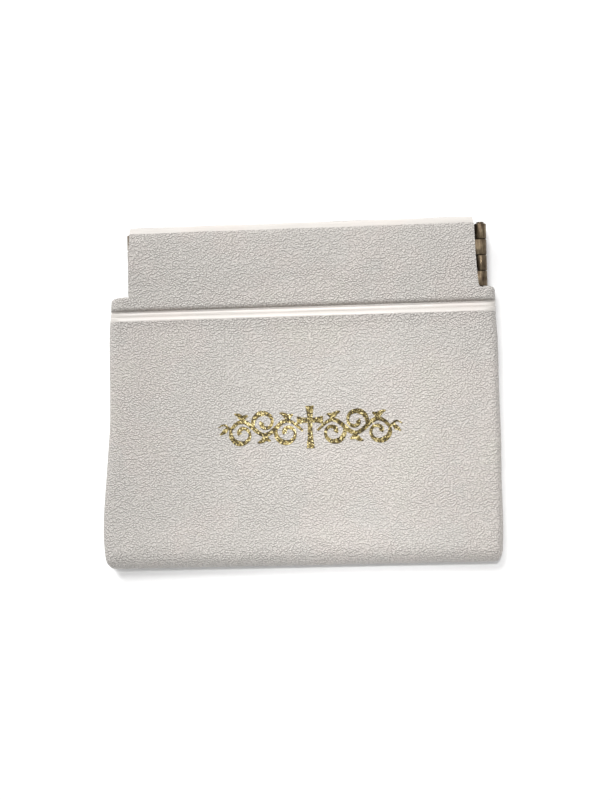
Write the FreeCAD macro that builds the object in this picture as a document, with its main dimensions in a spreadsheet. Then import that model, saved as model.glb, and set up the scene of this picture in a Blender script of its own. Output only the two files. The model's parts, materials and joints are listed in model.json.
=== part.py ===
import FreeCAD, Part
import os
import Sketcher

# A squeeze-top rosary pouch, lying on its back: +X right, +Y towards the mouth, +Z out of the front.
# Two vinyl panels are joined along their sides and bottom. Above them a casing on each face holds one
# spring strip of an internal flex frame, whose strips are hinged together at both ends.

SIZES = [
    # the pouch
    ("pouch_height", 76.2),
    ("widest", 88.9),
    ("top_width", 86.2),
    ("widest_above_bottom", 9.1),
    ("bottom_width", 83.6),
    ("corner_rise", 2.2),
    ("thickness", 7.2),
    ("skin", 0.8),
    ("edge_round", 1.8),
    ("rim_to_middle", 0.7),
    # the pressed weld between a panel and its casing, and the clearance on both sides of it
    ("weld_line", 19.9),
    ("weld_width", 2.0),
    ("weld_thickness", 1.4),
    ("weld_recess", 0.9),
    ("weld_gap", 0.1),
    # the side seams: two layers of turned-in vinyl, which end in a shoulder beside the casing
    ("seam_width", 4.0),
    ("seam_thickness", 1.2),
    ("seam_gap", 0.1),
    ("shoulder_top", 22.6),
    ("shoulder_thickness", 5.2),
    ("shoulder_slope", 1.2),
    ("left_shoulder_inside", 39.2),
    ("right_shoulder_inside", 40.3),
    ("fold_width", 2.0),
    # the casings
    ("casing_middle", 0.55),
    ("casing_half", 38.4),
    ("casing_recess", 0.5),
    ("casing_round", 1.3),
    ("flap_thickness", 0.6),
    ("flap_gap", 0.05),
    ("flap_cut_back", 1.7),
    ("relief_length", 5),
    ("split_gap", 0.6),
    # the flex frame
    ("frame_middle", 1.3),
    ("pin_to_middle", 38.7),
    ("hinge_low", 22.8),
    ("knuckle_length", 3.375),
    ("knuckle_gap", 0.1),
    ("barrel_radius", 1.3),
    ("bore_radius", 0.6),
    ("pin_radius", 0.55),
    ("pin_head_radius", 0.8),
    ("pin_head_height", 0.25),
    ("leaf_length", 9.5),
    ("leaf_thickness", 0.4),
    ("leaf_clearance", 0.2),
    ("strip_thickness", 0.4),
    ("strip_end", 2.2),
    ("rivet_radius", 0.8),
    ("rivet_head_radius", 1.4),
    ("rivet_head_height", 0.45),
    ("rivet_tail_radius", 1.2),
    ("rivet_tail_height", 0.18),
    ("rivet_from_pin", 5.5),
    ("rivet_spacing", 6.9),
    # the foil ornament, stamped on the front panel
    ("foil_thickness", 0.1),
    ("foil_length", 41.0),
    ("foil_height", 9.5),
    ("foil_bar", 1.9),
    ("foil_stem", 0.7),
    ("foil_across", 1.4),
    ("foil_up", -7.2),
    ("leaf_pitch", 4.4),
    ("foil_leaf", 3.4),
]

KNUCKLES = 4
SIDES = {"left": -1, "right": 1}
FACES = {"back": -1, "front": 1}

doc = FreeCAD.newDocument("rosary_pouch")
sheet = doc.addObject("Spreadsheet::Sheet", "sizes")


def fill_sheet():
    for row, (alias, value) in enumerate(SIZES, start=1):
        sheet.set(f"A{row}", alias)
        sheet.set(f"B{row}", str(value))
        sheet.setAlias(f"B{row}", alias)
    doc.recompute()


fill_sheet()

# heights that many pieces share, as expressions on the sheet
MIDDLE = "(sizes.thickness / 2)"
BOTTOM = "(-sizes.pouch_height / 2)"
PANEL_TOP = "(sizes.weld_line - sizes.weld_width - sizes.weld_gap)"
CASING_LOW = "(sizes.weld_line + 2 * sizes.weld_gap)"
CASING_HIGH = "(sizes.pouch_height / 2)"
CASING_OUTSIDE = "(sizes.thickness / 2 - sizes.casing_recess)"
HINGE_LENGTH = f"({KNUCKLES} * sizes.knuckle_length + {KNUCKLES - 1} * sizes.knuckle_gap)"
HINGE_MIDDLE = f"(sizes.hinge_low + {HINGE_LENGTH} / 2)"


def bind(item, **expressions):
    """Bind properties to the sheet. An underscore in a property's name stands for a dot."""
    for name, expression in expressions.items():
        item.setExpression(name.replace("_", "."), expression)


def place(item, x="0", y="0", z="0"):
    bind(item, Placement_Base_x=x, Placement_Base_y=y, Placement_Base_z=z)


def box(name, low, size):
    """A block from its low corner, with both given as three expressions."""
    block = doc.addObject("Part::Box", name)
    bind(block, Length=size[0], Width=size[1], Height=size[2])
    place(block, *low)
    return block


def layer(face, name, x, width, y, length, near, deep):
    """A block on one face of the pouch, from near to near + deep away from the middle plane."""
    low = f"{MIDDLE} + {near}" if face == "front" else f"{MIDDLE} - ({near}) - ({deep})"
    return box(name, (x, y, low), (width, length, deep))


def rod(name, radius, length, x, y, z, along_y):
    """A cylinder that starts at a point and runs along Y or Z."""
    cylinder = doc.addObject("Part::Cylinder", name)
    bind(cylinder, Radius=radius, Height=length)
    if along_y:
        cylinder.Placement.Rotation = FreeCAD.Rotation(FreeCAD.Vector(1, 0, 0), -90)
    place(cylinder, x, y, z)
    return cylinder


def fuse(name, shapes):
    joined = doc.addObject("Part::MultiFuse", name)
    joined.Shapes = shapes
    return joined


def cut(name, base, tool):
    remains = doc.addObject("Part::Cut", name)
    remains.Base = base
    remains.Tool = tool
    return remains


def group(name, shapes):
    together = doc.addObject("Part::Compound", name)
    together.Links = shapes
    return together


def plane_of(body, role):
    return next(item for item in body.Origin.OriginFeatures if item.Role == role)


def outline_sketch(body, name, corners, height="0"):
    """A closed outline on the body's XY plane, each corner held by two bound distances."""
    sketch = body.newObject("Sketcher::SketchObject", name)
    sketch.AttachmentSupport = (plane_of(body, "XY_Plane"), [""])
    sketch.MapMode = "FlatFace"
    sketch.setExpression("AttachmentOffset.Base.z", height)
    values = [(sheet.evalExpression(x), sheet.evalExpression(y)) for x, y in corners]
    points = [FreeCAD.Vector(float(x), float(y), 0) for x, y in values]
    count = len(points)
    for i in range(count):
        sketch.addGeometry(Part.LineSegment(points[i], points[(i + 1) % count]), False)
    for i in range(count):
        sketch.addConstraint(Sketcher.Constraint("Coincident", i, 2, (i + 1) % count, 1))
    for i, (x, y) in enumerate(corners):
        hold = sketch.addConstraint(Sketcher.Constraint("DistanceX", -1, 1, i, 1, points[i].x))
        sketch.setExpression(f"Constraints[{hold}]", x)
        hold = sketch.addConstraint(Sketcher.Constraint("DistanceY", -1, 1, i, 1, points[i].y))
        sketch.setExpression(f"Constraints[{hold}]", y)
    return sketch


def pad(body, name, sketch, length):
    solid = body.newObject("PartDesign::Pad", name)
    solid.Profile = sketch
    solid.setExpression("Length", length)
    doc.recompute()
    return solid


def pouch_outline(inside):
    """The pouch's outline below the weld, or the same moved inwards."""
    top = f"(sizes.top_width / 2 - {inside})"
    wide = f"(sizes.widest / 2 - {inside})"
    low = f"(sizes.bottom_width / 2 - {inside})"
    up = f"({BOTTOM} + sizes.widest_above_bottom)"
    rise = f"({BOTTOM} + sizes.corner_rise + {inside})"
    floor = f"({BOTTOM} + {inside})"
    corner = f"({wide} - sizes.corner_rise / 4)"
    right = [(low, floor), (corner, rise), (wide, up), (top, PANEL_TOP)]
    left = [(f"-{x}", y) for x, y in reversed(right)]
    return right + left


def level_edges(shape, height):
    """The names of the edges that lie flat at one height, without those at the mouth."""
    mouth = float(sheet.evalExpression(PANEL_TOP))
    names = []
    for i, edge in enumerate(shape.Edges, start=1):
        ends = edge.BoundBox
        flat = abs(ends.ZMin - height) < 1e-6 and abs(ends.ZMax - height) < 1e-6
        at_mouth = abs(ends.YMin - mouth) < 1e-6 and abs(ends.YMax - mouth) < 1e-6
        if flat and not at_mouth:
            names.append(f"Edge{i}")
    return names


def make_back_panel():
    """A shallow tray, open at the mouth, with its outer edge rounded."""
    body = doc.addObject("PartDesign::Body", "back_panel")
    tray_height = f"({MIDDLE} - sizes.rim_to_middle)"
    outline = outline_sketch(body, "panel_outline", pouch_outline("0"))
    block = pad(body, "panel_block", outline, tray_height)
    rounded = body.newObject("PartDesign::Fillet", "panel_edge")
    rounded.Base = (block, level_edges(block.Shape, 0))
    rounded.setExpression("Radius", "sizes.edge_round")
    doc.recompute()
    before = rounded.Shape.Volume
    inside = pouch_outline("sizes.skin")
    # the hollow runs out through the mouth end
    inside[3] = (inside[3][0], f"({PANEL_TOP} + sizes.skin)")
    inside[4] = (inside[4][0], f"({PANEL_TOP} + sizes.skin)")
    hollow_outline = outline_sketch(body, "hollow_outline", inside, "sizes.skin")
    hollow = body.newObject("PartDesign::Pocket", "panel_hollow")
    hollow.Profile = hollow_outline
    hollow.Type = "ThroughAll"
    hollow.Reversed = True
    doc.recompute()
    assert hollow.Shape.Volume < before / 2, "the tray was not hollowed"
    body.Tip = hollow
    return body


def mirrored(source, name):
    """The same piece on the front face: mirrored in the middle plane."""
    copy = doc.addObject("Part::Mirroring", name)
    copy.Source = source
    copy.Normal = (0, 0, 1)
    copy.setExpression("Base.z", MIDDLE)
    return copy


def make_weld_bands():
    """The pressed band across each face, between the panel and the casing."""
    near = f"({MIDDLE} - sizes.weld_recess - sizes.weld_thickness)"
    for face in FACES:
        layer(
            face,
            f"{face}_weld_band",
            "-sizes.top_width / 2",
            "sizes.top_width",
            "sizes.weld_line - sizes.weld_width",
            "sizes.weld_width",
            near,
            "sizes.weld_thickness",
        )


def make_side_seam(side):
    """The turned-in seam along one side, and the shoulder above it."""
    sign = SIDES[side]
    body = doc.addObject("PartDesign::Body", f"{side}_side_seam")
    inset = "sizes.seam_gap * 3"
    wide = f"(sizes.widest / 2 - {inset})"
    top = f"(sizes.top_width / 2 - {inset})"
    inner = f"(sizes.top_width / 2 - sizes.seam_width)"
    shoulder = f"sizes.{side}_shoulder_inside"
    low = f"({BOTTOM} + sizes.corner_rise + sizes.fold_width)"
    up = f"({BOTTOM} + sizes.widest_above_bottom)"
    strip = [(inner, low), (wide, low), (wide, up), (top, PANEL_TOP), (top, CASING_LOW)]
    strip += [(f"({shoulder} + sizes.seam_gap)", CASING_LOW), (inner, PANEL_TOP)]
    lump = [(shoulder, CASING_LOW), (top, CASING_LOW), (top, "sizes.shoulder_top")]
    lump += [(f"({shoulder} + sizes.shoulder_slope)", "sizes.shoulder_top")]
    lump += [(shoulder, "(sizes.shoulder_top - sizes.shoulder_slope)")]
    if sign < 0:
        strip = [(f"-{x}", y) for x, y in strip]
        lump = [(f"-{x}", y) for x, y in lump]
    strip_low = f"{MIDDLE} - sizes.seam_thickness / 2"
    lump_low = f"{MIDDLE} - sizes.shoulder_thickness / 2"
    strip_sketch = outline_sketch(body, f"{side}_seam_outline", strip, strip_low)
    pad(body, f"{side}_seam_strip", strip_sketch, "sizes.seam_thickness")
    lump_sketch = outline_sketch(body, f"{side}_shoulder_outline", lump, lump_low)
    body.Tip = pad(body, f"{side}_shoulder", lump_sketch, "sizes.shoulder_thickness")


def make_bottom_fold():
    """The folded sheet between the two panels' bottom rims."""
    box(
        "bottom_fold",
        (
            "-sizes.bottom_width / 2",
            BOTTOM,
            f"{MIDDLE} - sizes.seam_thickness / 2",
        ),
        ("sizes.bottom_width", "sizes.fold_width", "sizes.seam_thickness"),
    )


def half_span(side, outer):
    """Low X and width of a half that runs from the frame's middle to an outer X."""
    if side == "left":
        low = f"({outer})"
        high = "(sizes.frame_middle - sizes.split_gap / 2)"
    else:
        low = "(sizes.frame_middle + sizes.split_gap / 2)"
        high = f"({outer})"
    return low, f"({high} - {low})"


def make_casing(face, side):
    """Half of a hem tunnel: vinyl folded over the strip, its inner flap cut back at the knuckles."""
    sign = SIDES[side]
    outer = f"(sizes.casing_middle + {sign} * sizes.casing_half)"
    x, width = half_span(side, outer)
    depth = f"({CASING_OUTSIDE} - sizes.flap_gap)"
    reach = f"({CASING_HIGH} - {CASING_LOW})"
    tube = layer(face, f"{face}_{side}_hem", x, width, CASING_LOW, reach, "sizes.flap_gap", depth)
    doc.recompute()
    rounded = doc.addObject("Part::Fillet", f"{face}_{side}_hem_round")
    rounded.Base = tube
    radius = float(sheet.evalExpression("sizes.casing_round"))
    whole = tube.Shape.BoundBox
    outside = whole.ZMax if face == "front" else whole.ZMin
    edges = []
    for i, edge in enumerate(tube.Shape.Edges, start=1):
        ends = edge.BoundBox
        along_x = ends.XLength > whole.XLength / 2
        if along_x and (abs(ends.ZMax - outside) < 1e-6 or ends.YMin > whole.Center.y):
            edges.append((i, radius, radius))
    rounded.Edges = edges
    hollow = layer(
        face,
        f"{face}_{side}_hem_hollow",
        f"{x} - 1",
        f"{width} + 2",
        f"{CASING_LOW} + sizes.skin",
        f"{reach} - 2 * sizes.skin",
        "sizes.flap_gap + sizes.flap_thickness",
        f"{depth} - sizes.flap_thickness - sizes.skin",
    )
    pin = f"(sizes.frame_middle + {sign} * sizes.pin_to_middle)"
    flap_end = f"({pin} - {sign} * sizes.flap_cut_back)"
    relief_low = f"{flap_end} - sizes.relief_length" if sign < 0 else flap_end
    relief = layer(
        face,
        f"{face}_{side}_hem_relief",
        relief_low,
        "sizes.relief_length",
        f"{CASING_LOW} - 1",
        f"{reach} + 2",
        "0",
        "sizes.flap_gap + sizes.flap_thickness",
    )
    cut(f"{face}_casing_{side}", rounded, fuse(f"{face}_{side}_hem_tools", [hollow, relief]))


def rivet_places():
    return [f"({HINGE_MIDDLE} + {sign} * sizes.rivet_spacing / 2)" for sign in (-1, 1)]


def rivet_x(side):
    sign = SIDES[side]
    return f"(sizes.frame_middle + {sign} * (sizes.pin_to_middle - sizes.rivet_from_pin))"


def rivet_holes(face, side, name):
    """Two holes through the leaf and the strip."""
    low = f"({MIDDLE} - sizes.thickness / 2)"
    holes = [
        rod(f"{name}_hole_{i}", "sizes.rivet_radius", "sizes.thickness", rivet_x(side), y, low, False)
        for i, y in enumerate(rivet_places())
    ]
    return fuse(f"{name}_holes", holes)


def make_strip(face, side):
    """Half of a flat spring strip, outside its leaf."""
    sign = SIDES[side]
    outer = f"(sizes.frame_middle + {sign} * (sizes.pin_to_middle - sizes.strip_end))"
    x, width = half_span(side, outer)
    name = f"{face}_strip_{side}"
    blank = layer(
        face,
        f"{name}_blank",
        x,
        width,
        "sizes.hinge_low",
        HINGE_LENGTH,
        "sizes.barrel_radius",
        "sizes.strip_thickness",
    )
    cut(name, blank, rivet_holes(face, side, name))


def make_leaf(face, side):
    """A hinge leaf: a plate riveted to the strip, with two of the four knuckles rolled from it."""
    sign = SIDES[side]
    name = f"{side}_{face}_leaf"
    pin = f"(sizes.frame_middle + {sign} * sizes.pin_to_middle)"
    clear = "(sizes.barrel_radius + sizes.leaf_clearance)"
    plate_width = f"(sizes.leaf_length - {clear})"
    plate_x = f"({pin} + {clear})" if sign < 0 else f"({pin} - sizes.leaf_length)"
    near = "(sizes.barrel_radius - sizes.leaf_thickness)"
    deep = "sizes.leaf_thickness"
    metal = [layer(face, f"{name}_plate", plate_x, plate_width, "sizes.hinge_low", HINGE_LENGTH, near, deep)]
    first = 1 if face == "back" else 0
    tab_width = f"({clear} + sizes.leaf_thickness)"
    tab_x = pin if sign < 0 else f"({pin} - {tab_width})"
    for i in range(first, KNUCKLES, 2):
        y = f"(sizes.hinge_low + {i} * (sizes.knuckle_length + sizes.knuckle_gap))"
        metal.append(layer(face, f"{name}_tab_{i}", tab_x, tab_width, y, "sizes.knuckle_length", near, deep))
        barrel = rod(
            f"{name}_barrel_{i}", "sizes.barrel_radius", "sizes.knuckle_length", pin, y, MIDDLE, True
        )
        metal.append(barrel)
    low = "(sizes.hinge_low - 1)"
    bore = rod(f"{name}_bore", "sizes.bore_radius", f"{HINGE_LENGTH} + 2", pin, low, MIDDLE, True)
    drilled = cut(f"{name}_bored", fuse(f"{name}_metal", metal), bore)
    cut(name, drilled, rivet_holes(face, side, name))


def make_pin(side):
    """A hinge pin with a small head at each end."""
    sign = SIDES[side]
    x = f"(sizes.frame_middle + {sign} * sizes.pin_to_middle)"
    low = "(sizes.hinge_low - sizes.knuckle_gap)"
    length = f"({HINGE_LENGTH} + 2 * sizes.knuckle_gap)"
    name = f"{side}_hinge_pin"
    shaft = rod(f"{name}_shaft", "sizes.pin_radius", length, x, low, MIDDLE, True)
    heads = [
        rod(
            f"{name}_{end}_head",
            "sizes.pin_head_radius",
            "sizes.pin_head_height",
            x,
            y,
            MIDDLE,
            True,
        )
        for end, y in (("low", f"{low} - sizes.pin_head_height"), ("high", f"{low} + {length}"))
    ]
    fuse(name, [shaft] + heads)


def make_rivets(face, side):
    """The two rivets of one leaf, each with a head outside the strip and a tail inside the leaf."""
    name = f"{side}_{face}_rivets"
    away = FACES[face]
    leaf_inside = "(sizes.barrel_radius - sizes.leaf_thickness)"
    strip_outside = "(sizes.barrel_radius + sizes.strip_thickness)"
    levels = [
        ("tail", "sizes.rivet_tail_radius", f"({leaf_inside} - sizes.rivet_tail_height)", leaf_inside),
        ("shank", "sizes.rivet_radius", leaf_inside, strip_outside),
        ("head", "sizes.rivet_head_radius", strip_outside, f"({strip_outside} + sizes.rivet_head_height)"),
    ]
    rivets = []
    for i, y in enumerate(rivet_places()):
        discs = []
        for level, radius, near, far in levels:
            start = near if away > 0 else far
            low = f"{MIDDLE} + {away} * {start}"
            height = f"{far} - {near}"
            discs.append(rod(f"{name}_{level}_{i}", radius, height, rivet_x(side), y, low, False))
        rivets.append(fuse(f"{name}_{i}", discs))
    group(name, rivets)


def make_foil_ornament():
    """A plain cross with a stem of lozenge leaves on both sides, 0.1 mm proud of the front panel."""
    up = "sizes.thickness"
    thick = "sizes.foil_thickness"

    def centred(name, width, height, y):
        low = (f"sizes.foil_across - {width} / 2", f"{y} - {height} / 2", up)
        return box(name, low, (width, height, thick))

    cross_arm_up = "(sizes.foil_up + sizes.foil_height / 8)"
    pieces = [
        centred("cross_post", "sizes.foil_bar", "sizes.foil_height", "sizes.foil_up"),
        centred("cross_arm", "(sizes.foil_height * 0.62)", "sizes.foil_bar", cross_arm_up),
        centred("foil_stem_bar", "sizes.foil_length", "sizes.foil_stem", "sizes.foil_up"),
    ]
    for side, sign in SIDES.items():
        for i in range(1, 5):
            leaf = doc.addObject("Part::Box", f"{side}_foil_leaf_{i}")
            bind(leaf, Length="sizes.foil_leaf", Width="sizes.foil_leaf", Height=thick)
            leaf.Placement.Rotation = FreeCAD.Rotation(FreeCAD.Vector(0, 0, 1), 45)
            x = f"sizes.foil_across + {sign} * ({i} * sizes.leaf_pitch + sizes.foil_bar / 4)"
            place(leaf, x, "sizes.foil_up - sizes.foil_leaf * 0.7071", up)
            pieces.append(leaf)
    fuse("foil_ornament", pieces)


def build():
    back = make_back_panel()
    mirrored(back, "front_panel")
    make_weld_bands()
    make_bottom_fold()
    make_foil_ornament()
    nodes = ["back_panel", "front_panel", "back_weld_band", "front_weld_band", "bottom_fold", "foil_ornament"]
    for side in SIDES:
        make_side_seam(side)
        make_pin(side)
        nodes += [f"{side}_side_seam", f"{side}_hinge_pin"]
        for face in FACES:
            make_casing(face, side)
            make_strip(face, side)
            make_leaf(face, side)
            make_rivets(face, side)
            nodes += [f"{face}_casing_{side}", f"{face}_strip_{side}"]
            nodes += [f"{side}_{face}_leaf", f"{side}_{face}_rivets"]
    doc.recompute()
    return nodes


def check_and_write(nodes):
    for item in doc.Objects:
        if "Invalid" in item.State or "Error" in item.State:
            raise RuntimeError(f"{item.Label} failed: {item.State}")
    os.makedirs("parts", exist_ok=True)
    for name in nodes:
        shape = doc.getObject(name).Shape
        if shape.isNull() or not shape.isValid():
            raise RuntimeError(f"{name} has no valid shape")
        print(f"{name}: {len(shape.Solids)} solids, {shape.Volume:.1f} mm3")
        shape.exportStep(f"parts/{name}.step")


check_and_write(build())
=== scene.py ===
import json
import math

import bpy
import numpy as np
from mathutils import Matrix, Vector


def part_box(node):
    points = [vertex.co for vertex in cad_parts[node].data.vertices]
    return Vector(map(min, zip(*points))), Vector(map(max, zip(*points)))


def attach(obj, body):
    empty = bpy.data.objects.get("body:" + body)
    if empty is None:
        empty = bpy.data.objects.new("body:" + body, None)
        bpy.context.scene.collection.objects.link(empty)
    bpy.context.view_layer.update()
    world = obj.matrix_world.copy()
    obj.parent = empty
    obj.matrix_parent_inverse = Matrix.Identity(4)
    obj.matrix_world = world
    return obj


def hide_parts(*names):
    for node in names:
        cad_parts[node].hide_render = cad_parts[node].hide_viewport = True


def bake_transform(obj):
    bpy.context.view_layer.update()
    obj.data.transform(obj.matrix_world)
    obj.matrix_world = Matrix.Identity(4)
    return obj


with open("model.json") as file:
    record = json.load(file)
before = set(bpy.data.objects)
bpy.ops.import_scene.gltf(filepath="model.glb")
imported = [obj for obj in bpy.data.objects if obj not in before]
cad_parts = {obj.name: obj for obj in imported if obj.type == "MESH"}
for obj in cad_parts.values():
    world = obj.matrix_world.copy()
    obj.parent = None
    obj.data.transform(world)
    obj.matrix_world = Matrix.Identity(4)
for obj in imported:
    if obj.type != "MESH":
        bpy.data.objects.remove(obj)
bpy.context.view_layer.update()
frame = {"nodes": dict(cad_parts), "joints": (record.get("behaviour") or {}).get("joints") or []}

# Geometry is worked out in millimetres and turned into metres when a mesh is made.
MM = 0.001


def node_box(name):
    """A CAD node's lowest and highest corners, in millimetres."""
    low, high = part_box(name)
    return np.array(low) / MM, np.array(high) / MM


# ---------------------------------------------------------------- sizes, from the frame

back_low = node_box("back_panel")[0]
front_high = node_box("front_panel")[1]
band_low, band_high = node_box("front_weld_band")
casing_high = node_box("front_casing_left")[1]
left_pin_low, left_pin_high = node_box("left_hinge_pin")
right_pin_low, right_pin_high = node_box("right_hinge_pin")
strip_low, strip_high = node_box("front_strip_left")

MIDDLE = (back_low[2] + front_high[2]) / 2  # height of the plane between the two faces
HALF_THICK = front_high[2] - MIDDLE
FOLD = back_low[1]  # the bottom fold
WELD = band_high[1]  # the upper edge of the pressed weld
LIP_LAP = 0.3
LIP = band_low[1] + LIP_LAP  # the panels' upper edge, a little above the band's lower edge
TOP = casing_high[1]
LEFT_PIN = (left_pin_low[0] + left_pin_high[0]) / 2
RIGHT_PIN = (right_pin_low[0] + right_pin_high[0]) / 2
FRAME_MIDDLE = (LEFT_PIN + RIGHT_PIN) / 2
PIN_TO_MIDDLE = (RIGHT_PIN - LEFT_PIN) / 2
SKIN = 0.8  # thickness of the vinyl
SHARP_ANGLE = math.radians(42)  # edges sharper than this are shaded as edges


# ---------------------------------------------------------------- mesh helpers


def smoothstep(low, high, x):
    """0 below low, 1 above high and an even curve between them."""
    share = np.clip((np.asarray(x, float) - low) / (high - low), 0, 1)
    return share * share * (3 - 2 * share)


def turn_outward(data):
    """Turns a closed mesh's faces outwards, if they all point inwards."""
    data.calc_loop_triangles()
    corners = np.empty(len(data.loop_triangles) * 3, np.int32)
    data.loop_triangles.foreach_get("vertices", corners)
    places = np.empty(len(data.vertices) * 3, np.float32)
    data.vertices.foreach_get("co", places)
    a, b, c = places.reshape(-1, 3).astype(float)[corners.reshape(-1, 3)].transpose(1, 0, 2)
    if np.einsum("ij,ij->i", a, np.cross(b, c)).sum() < 0:
        data.flip_normals()


def make_mesh(name, points, faces, materials, marks=None):
    """A smooth closed mesh from points in millimetres. marks gives each face's material."""
    data = bpy.data.meshes.new(name)
    data.from_pydata((np.asarray(points, float) * MM).tolist(), [], faces)
    for material in materials:
        data.materials.append(material)
    if marks is not None:
        data.polygons.foreach_set("material_index", np.asarray(marks, np.int32))
    data.polygons.foreach_set("use_smooth", np.ones(len(data.polygons), bool))
    data.update()
    turn_outward(data)
    data.set_sharp_from_angle(angle=SHARP_ANGLE)
    made = bpy.data.objects.new(name, data)
    bpy.context.scene.collection.objects.link(made)
    return made


def grid_faces(rows, columns, start=0, flip=False):
    """Quads over a grid whose first point has the index start."""
    faces = []
    for i in range(rows - 1):
        for j in range(columns - 1):
            a = start + i * columns + j
            quad = (a, a + 1, a + columns + 1, a + columns)
            faces.append(quad[::-1] if flip else quad)
    return faces


def rim_faces(rows, columns, start=0):
    """Quads that close the border between a grid at start and the one that follows it."""
    other = rows * columns
    ring = list(range(columns))
    ring += [i * columns + columns - 1 for i in range(1, rows)]
    ring += [(rows - 1) * columns + j for j in range(columns - 2, -1, -1)]
    ring += [i * columns for i in range(rows - 2, 0, -1)]
    faces = []
    for a, b in zip(ring, ring[1:] + ring[:1]):
        faces.append((start + b, start + a, start + other + a, start + other + b))
    return faces


def shell(outer, inner, start=0):
    """A closed sheet from two (rows, columns, 3) grids: its points and faces, and a mark for each
    face, which is 1 on the inner side and 0 elsewhere."""
    rows, columns = outer.shape[:2]
    points = np.concatenate([outer.reshape(-1, 3), inner.reshape(-1, 3)])
    upper = grid_faces(rows, columns, start)
    under = grid_faces(rows, columns, start + rows * columns, flip=True)
    rim = rim_faces(rows, columns, start)
    marks = [0] * len(upper) + [1] * len(under) + [0] * len(rim)
    return points, upper + under + rim, marks


def smooth_curve(points, step, closed=False):
    """Even points along a smooth curve through the given ones."""
    given = np.asarray(points, float)
    if closed:
        ring = np.concatenate([given[-1:], given, given[:2]])
    else:
        ring = np.concatenate([given[:1], given, given[-1:]])
    made = []
    for before, here, after, beyond in zip(ring, ring[1:], ring[2:], ring[3:]):
        count = max(2, int(round(np.linalg.norm(after - here) / step)))
        t = np.linspace(0, 1, count, endpoint=False)[:, None]
        leave = (after - before) / 2
        arrive = (beyond - here) / 2
        cube = 2 * here - 2 * after + leave + arrive
        square = 3 * after - 3 * here - 2 * leave - arrive
        made.append(((cube * t + square) * t + leave) * t + here)
    if not closed:
        made.append(given[-1:])
    return np.concatenate(made)


def waves(seed, count, shortest, longest):
    """A gentle, repeatable unevenness: a function of x and y, about -1 to 1."""
    draw = np.random.default_rng(seed)
    lengths = draw.uniform(shortest, longest, count)
    turns = draw.uniform(0, math.tau, count)
    phases = draw.uniform(0, math.tau, count)

    def value(x, y):
        total = np.zeros(np.broadcast(x, y).shape)
        for length, turn, phase in zip(lengths, turns, phases):
            along = (x * math.cos(turn) + y * math.sin(turn)) / length
            total += np.sin(math.tau * along + phase)
        return total / math.sqrt(count)

    return value


# ---------------------------------------------------------------- materials


def new_material(name):
    """An empty node material, its tree and its shader."""
    material = bpy.data.materials.new(name)
    material.use_nodes = True
    tree = material.node_tree
    return material, tree, tree.nodes["Principled BSDF"]


def add(tree, kind, inputs=None, **settings):
    """A node with its settings, and its inputs given as values or as links."""
    made = tree.nodes.new(kind)
    for key, value in settings.items():
        setattr(made, key, value)
    for key, value in (inputs or {}).items():
        if isinstance(value, bpy.types.NodeSocket):
            tree.links.new(value, made.inputs[key])
        else:
            made.inputs[key].default_value = value
    return made


def place(tree, stretch=(1, 1, 1)):
    """The point on the object, stretched along its axes."""
    where = add(tree, "ShaderNodeTexCoord").outputs["Object"]
    return add(tree, "ShaderNodeMapping", {"Vector": where, "Scale": stretch}).outputs["Vector"]


def noise(tree, where, scale, detail=2.0, roughness=0.5):
    inputs = {"Vector": where, "Scale": scale, "Detail": detail, "Roughness": roughness}
    return add(tree, "ShaderNodeTexNoise", inputs).outputs["Fac"]


def cells(tree, where, scale):
    """Small cells, each with a value of its own, in three channels."""
    found = add(tree, "ShaderNodeTexVoronoi", {"Vector": where, "Scale": scale})
    return add(tree, "ShaderNodeSeparateColor", {"Color": found.outputs["Color"]}).outputs


def arithmetic(tree, operation, a, b):
    """One sum on two values or links."""
    return add(tree, "ShaderNodeMath", {0: a, 1: b}, operation=operation).outputs[0]


def ramp(tree, value, *stops):
    """A colour ramp through (position, colour or grey) stops."""
    made = add(tree, "ShaderNodeValToRGB", {"Fac": value})
    elements = made.color_ramp.elements
    while len(elements) < len(stops):
        elements.new(0.5)
    for element, (position, colour) in zip(elements, stops):
        element.position = position
        element.color = (colour, colour, colour, 1) if isinstance(colour, float) else (*colour, 1)
    return made.outputs["Color"]


def tint(tree, colour, shade):
    """colour times shade."""
    made = add(tree, "ShaderNodeMix", {"Factor": 1.0}, data_type="RGBA", blend_type="MULTIPLY")
    tree.links.new(colour, made.inputs["A"])
    tree.links.new(shade, made.inputs["B"])
    return made.outputs["Result"]


def finish(tree, shader, colour, gloss, *heights):
    """Links colour and roughness, and one bump for each (height, strength, depth in mm)."""
    tree.links.new(colour, shader.inputs["Base Color"])
    tree.links.new(gloss, shader.inputs["Roughness"])
    before = None
    for height, strength, depth in heights:
        inputs = {"Height": height, "Strength": strength, "Distance": depth * MM}
        if before is not None:
            inputs["Normal"] = before
        before = add(tree, "ShaderNodeBump", inputs).outputs["Normal"]
    tree.links.new(before, shader.inputs["Normal"])


VINYL = (0.54, 0.512, 0.481)
VINYL_CLOUDS = 0.02  # how far the vinyl's faint clouds are from its own colour
GRAIN_SCALE = 2380  # pebbles per metre
GRAIN_STRETCH = (0.9, 1.12, 1)


def times(colour, *factors):
    """A colour times each factor, which is a number or a colour."""
    for factor in factors:
        factor = factor if isinstance(factor, tuple) else (factor,) * 3
        colour = tuple(min(1.0, c * f) for c, f in zip(colour, factor))
    return colour


def vinyl_colour(tree, where):
    """Off-white with faint yellow and pink clouds."""
    clouds = noise(tree, where, 60, detail=3, roughness=0.6)
    dull = times(VINYL, 1 - VINYL_CLOUDS)
    pink = times(VINYL, 1 + VINYL_CLOUDS / 2, (1.012, 0.99, 0.99))
    yellow = times(VINYL, 1 + VINYL_CLOUDS, (1.0, 1.0, 0.98))
    return ramp(tree, clouds, (0.34, dull), (0.48, VINYL), (0.56, pink), (0.7, yellow))


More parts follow.
